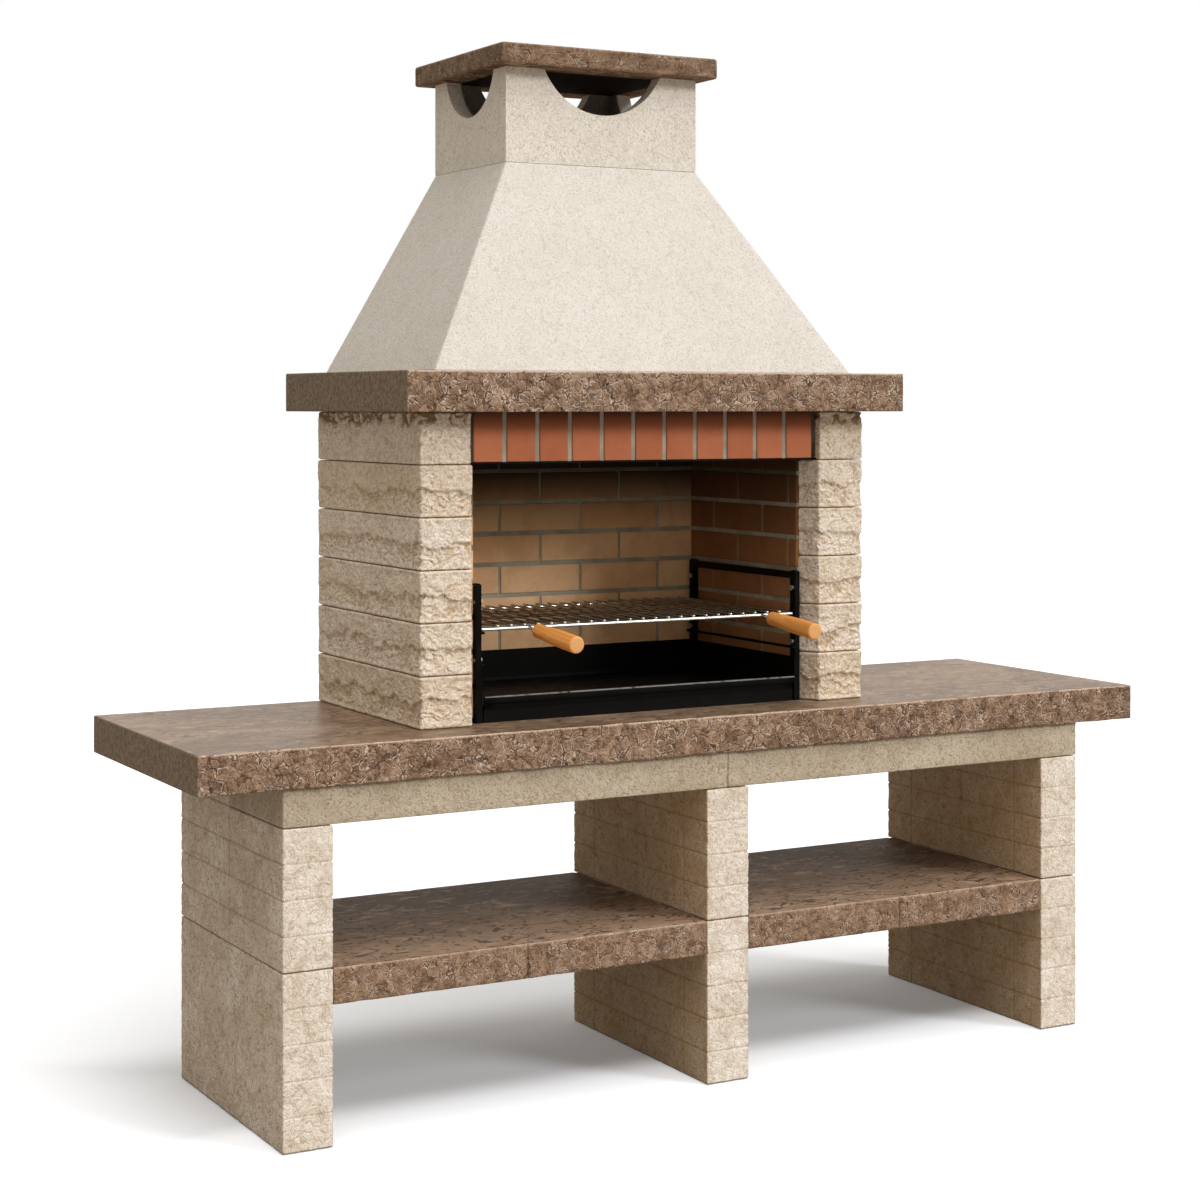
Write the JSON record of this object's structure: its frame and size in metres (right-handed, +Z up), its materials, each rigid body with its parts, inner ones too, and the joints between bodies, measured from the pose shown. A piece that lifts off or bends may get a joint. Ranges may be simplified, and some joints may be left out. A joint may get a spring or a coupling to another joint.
{
  "type": "masonry barbecue",
  "caption": "Free-standing masonry barbecue: piers and shelves carry a stone worktop and a brick-lined firebox with hood and chimney; grill and charcoal tray slide out.",
  "frame": {"origin": "middle of the whole outline at ground level, where the piers stand", "axes": "+X along the worktop to the cook's right, +Y to the back, +Z up"},
  "size_m": [2.4, 0.8354, 2.328],
  "materials": {
    "cream_concrete": "cast cream concrete, scored and lightly tooled",
    "brown_concrete": "reddish brown cast stone, honed top and rough edge",
    "split_block": "split face cream block",
    "lintel_brick": "smooth terracotta brick",
    "lining_brick": "tan firebrick, smoked towards the top",
    "mortar": "grey mortar",
    "black_steel": "black heat-proof paint",
    "zinc": "bare bolt heads",
    "chrome": "polished chrome wire",
    "wood": "oiled turned wood"
  },
  "bodies": {
    "masonry": {"left_pier_lower": "cream_concrete", "left_pier_front": "cream_concrete", "left_pier_rear": "cream_concrete", "centre_pier_lower": "cream_concrete", "centre_pier_front": "cream_concrete", "centre_pier_rear": "cream_concrete", "right_pier_lower": "cream_concrete", "right_pier_front": "cream_concrete", "right_pier_rear": "cream_concrete", "left_shelf": "brown_concrete", "right_shelf": "brown_concrete", "left_beam": "cream_concrete", "right_beam": "cream_concrete", "worktop": "brown_concrete", "right_block_1": "split_block", "left_block_1": "split_block", "right_block_2": "split_block", "left_block_2": "split_block", "right_block_3": "split_block", "left_block_3": "split_block", "right_block_4": "split_block", "left_block_4": "split_block", "right_block_5": "split_block", "left_block_5": "split_block", "right_block_6": "split_block", "left_block_6": "split_block", "rear_panel": "cream_concrete", "back_lining_bricks": "lining_brick", "back_lining_mortar": "mortar", "right_lining_bricks": "lining_brick", "right_lining_mortar": "mortar", "left_lining_bricks": "lining_brick", "left_lining_mortar": "mortar", "lintel_bricks": "lintel_brick", "lintel_mortar": "mortar", "lintel_angle": "black_steel", "mantel": "brown_concrete", "hood": "cream_concrete", "chimney_collar": "cream_concrete", "chimney_cap": "brown_concrete", "right_front_upright": "black_steel", "left_front_upright": "black_steel", "right_rear_upright": "black_steel", "left_rear_upright": "black_steel", "right_rails": "black_steel", "left_rails": "black_steel", "rack_bolts": "zinc", "ember_guard": "black_steel"},
    "charcoal_tray": {"tray_pan": "black_steel", "tray_skirt": "black_steel"},
    "cooking_grill": {"grill_frame": "chrome", "left_handle_grip": "wood", "right_handle_grip": "wood", "grill_rods": "chrome", "grill_cross_bars": "chrome"}
  },
  "joints": [
    {"name": "grill_slide", "type": "slide", "parent": "masonry", "child": "cooking_grill", "axis": [0, -1, 0], "range_m": [0, 0.3]},
    {"name": "tray_slide", "type": "slide", "parent": "masonry", "child": "charcoal_tray", "axis": [0, -1, 0], "range_m": [0, 0.4]}
  ]
}
